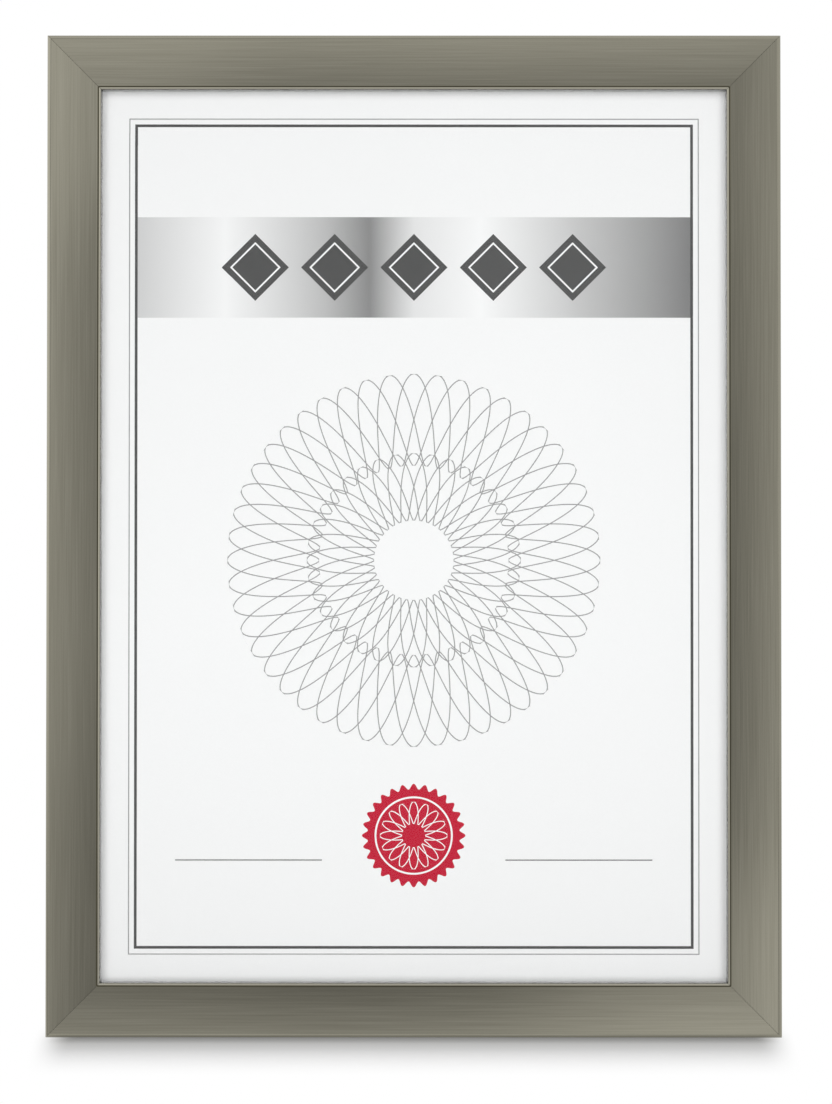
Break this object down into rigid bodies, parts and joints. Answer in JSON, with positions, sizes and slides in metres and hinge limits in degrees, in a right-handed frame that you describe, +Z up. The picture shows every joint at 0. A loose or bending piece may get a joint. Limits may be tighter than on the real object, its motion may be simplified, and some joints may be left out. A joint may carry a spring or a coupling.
{
  "type": "picture frame",
  "caption": "Portrait A4 document frame: mitred brushed-steel rails, glass, insert sheet, back board locked by turn buttons, sawtooth hangers and a folding strut.",
  "frame": {"origin": "on the floor under the middle of the standing frame's footprint", "axes": "+Z up, -Y the way the glass looks, +X to the right of someone who faces the glass; the frame leans back 14 degrees from +Z towards +Y"},
  "size_m": [0.239, 0.1014, 0.3199],
  "materials": {
    "rail_steel": "warm grey, fine grain along each rail",
    "zinc_hardware": "bright zinc plate",
    "clear_glass": "clear float glass, ground edges",
    "insert_paper": "white paper with a printed design",
    "fibreboard": "brown hardboard"
  },
  "bodies": {
    "frame": {"bottom_rail": "rail_steel", "left_rail": "rail_steel", "top_rail": "rail_steel", "right_rail": "rail_steel", "corner_key_bottom_left": "zinc_hardware", "corner_key_bottom_right": "zinc_hardware", "corner_key_top_right": "zinc_hardware", "corner_key_top_left": "zinc_hardware", "corner_screw_bottom_left_1": "zinc_hardware", "corner_screw_bottom_left_2": "zinc_hardware", "corner_screw_bottom_right_1": "zinc_hardware", "corner_screw_bottom_right_2": "zinc_hardware", "corner_screw_top_right_1": "zinc_hardware", "corner_screw_top_right_2": "zinc_hardware", "corner_screw_top_left_1": "zinc_hardware", "corner_screw_top_left_2": "zinc_hardware", "glass_pane": "clear_glass", "insert_sheet": "insert_paper", "back_board": "fibreboard", "turn_button_rivet_left_lower": "zinc_hardware", "turn_button_rivet_left_upper": "zinc_hardware", "turn_button_rivet_right_lower": "zinc_hardware", "turn_button_rivet_right_upper": "zinc_hardware", "turn_button_rivet_bottom_left": "zinc_hardware", "turn_button_rivet_bottom_right": "zinc_hardware", "turn_button_rivet_top_left": "zinc_hardware", "turn_button_rivet_top_right": "zinc_hardware", "hanger_upright": "zinc_hardware", "hanger_sideways": "zinc_hardware", "hanger_rivet_upright_1": "zinc_hardware", "hanger_rivet_upright_2": "zinc_hardware", "hanger_rivet_sideways_1": "zinc_hardware", "hanger_rivet_sideways_2": "zinc_hardware", "hinge_plate": "zinc_hardware", "hinge_pin": "zinc_hardware", "hinge_plate_rivet_1": "zinc_hardware", "hinge_plate_rivet_2": "zinc_hardware"},
    "strut_leg": {"strut": "fibreboard", "strut_bracket": "zinc_hardware", "strut_rivet_1": "zinc_hardware", "strut_rivet_2": "zinc_hardware"},
    "button_left_lower": {"turn_button_left_lower": "zinc_hardware"},
    "button_left_upper": {"turn_button_left_upper": "zinc_hardware"},
    "button_right_lower": {"turn_button_right_lower": "zinc_hardware"},
    "button_right_upper": {"turn_button_right_upper": "zinc_hardware"},
    "button_bottom_left": {"turn_button_bottom_left": "zinc_hardware"},
    "button_bottom_right": {"turn_button_bottom_right": "zinc_hardware"},
    "button_top_left": {"turn_button_top_left": "zinc_hardware"},
    "button_top_right": {"turn_button_top_right": "zinc_hardware"}
  },
  "joints": [
    {"name": "strut_fold", "type": "hinge", "parent": "frame", "child": "strut_leg", "pos_m": [0, 0.00942, 0.17225], "axis": [-1, 0, 0], "range_deg": [0, 27]},
    {"name": "turn_left_lower", "type": "hinge", "parent": "frame", "child": "button_left_lower", "pos_m": [-0.0975, -0.01419, 0.08539], "axis": [0, 0.9703, -0.2419], "continuous": true},
    {"name": "turn_left_upper", "type": "hinge", "parent": "frame", "child": "button_left_upper", "pos_m": [-0.0975, 0.0221, 0.23093], "axis": [0, 0.9703, -0.2419], "continuous": true},
    {"name": "turn_right_lower", "type": "hinge", "parent": "frame", "child": "button_right_lower", "pos_m": [0.0975, -0.01419, 0.08539], "axis": [0, 0.9703, -0.2419], "continuous": true},
    {"name": "turn_right_upper", "type": "hinge", "parent": "frame", "child": "button_right_upper", "pos_m": [0.0975, 0.0221, 0.23093], "axis": [0, 0.9703, -0.2419], "continuous": true},
    {"name": "turn_bottom_left", "type": "hinge", "parent": "frame", "child": "button_bottom_left", "pos_m": [-0.05, -0.03016, 0.02135], "axis": [0, 0.9703, -0.2419], "continuous": true},
    {"name": "turn_bottom_right", "type": "hinge", "parent": "frame", "child": "button_bottom_right", "pos_m": [0.05, -0.03016, 0.02135], "axis": [0, 0.9703, -0.2419], "continuous": true},
    {"name": "turn_top_left", "type": "hinge", "parent": "frame", "child": "button_top_left", "pos_m": [-0.05, 0.03806, 0.29497], "axis": [0, 0.9703, -0.2419], "continuous": true},
    {"name": "turn_top_right", "type": "hinge", "parent": "frame", "child": "button_top_right", "pos_m": [0.05, 0.03806, 0.29497], "axis": [0, 0.9703, -0.2419], "continuous": true}
  ]
}
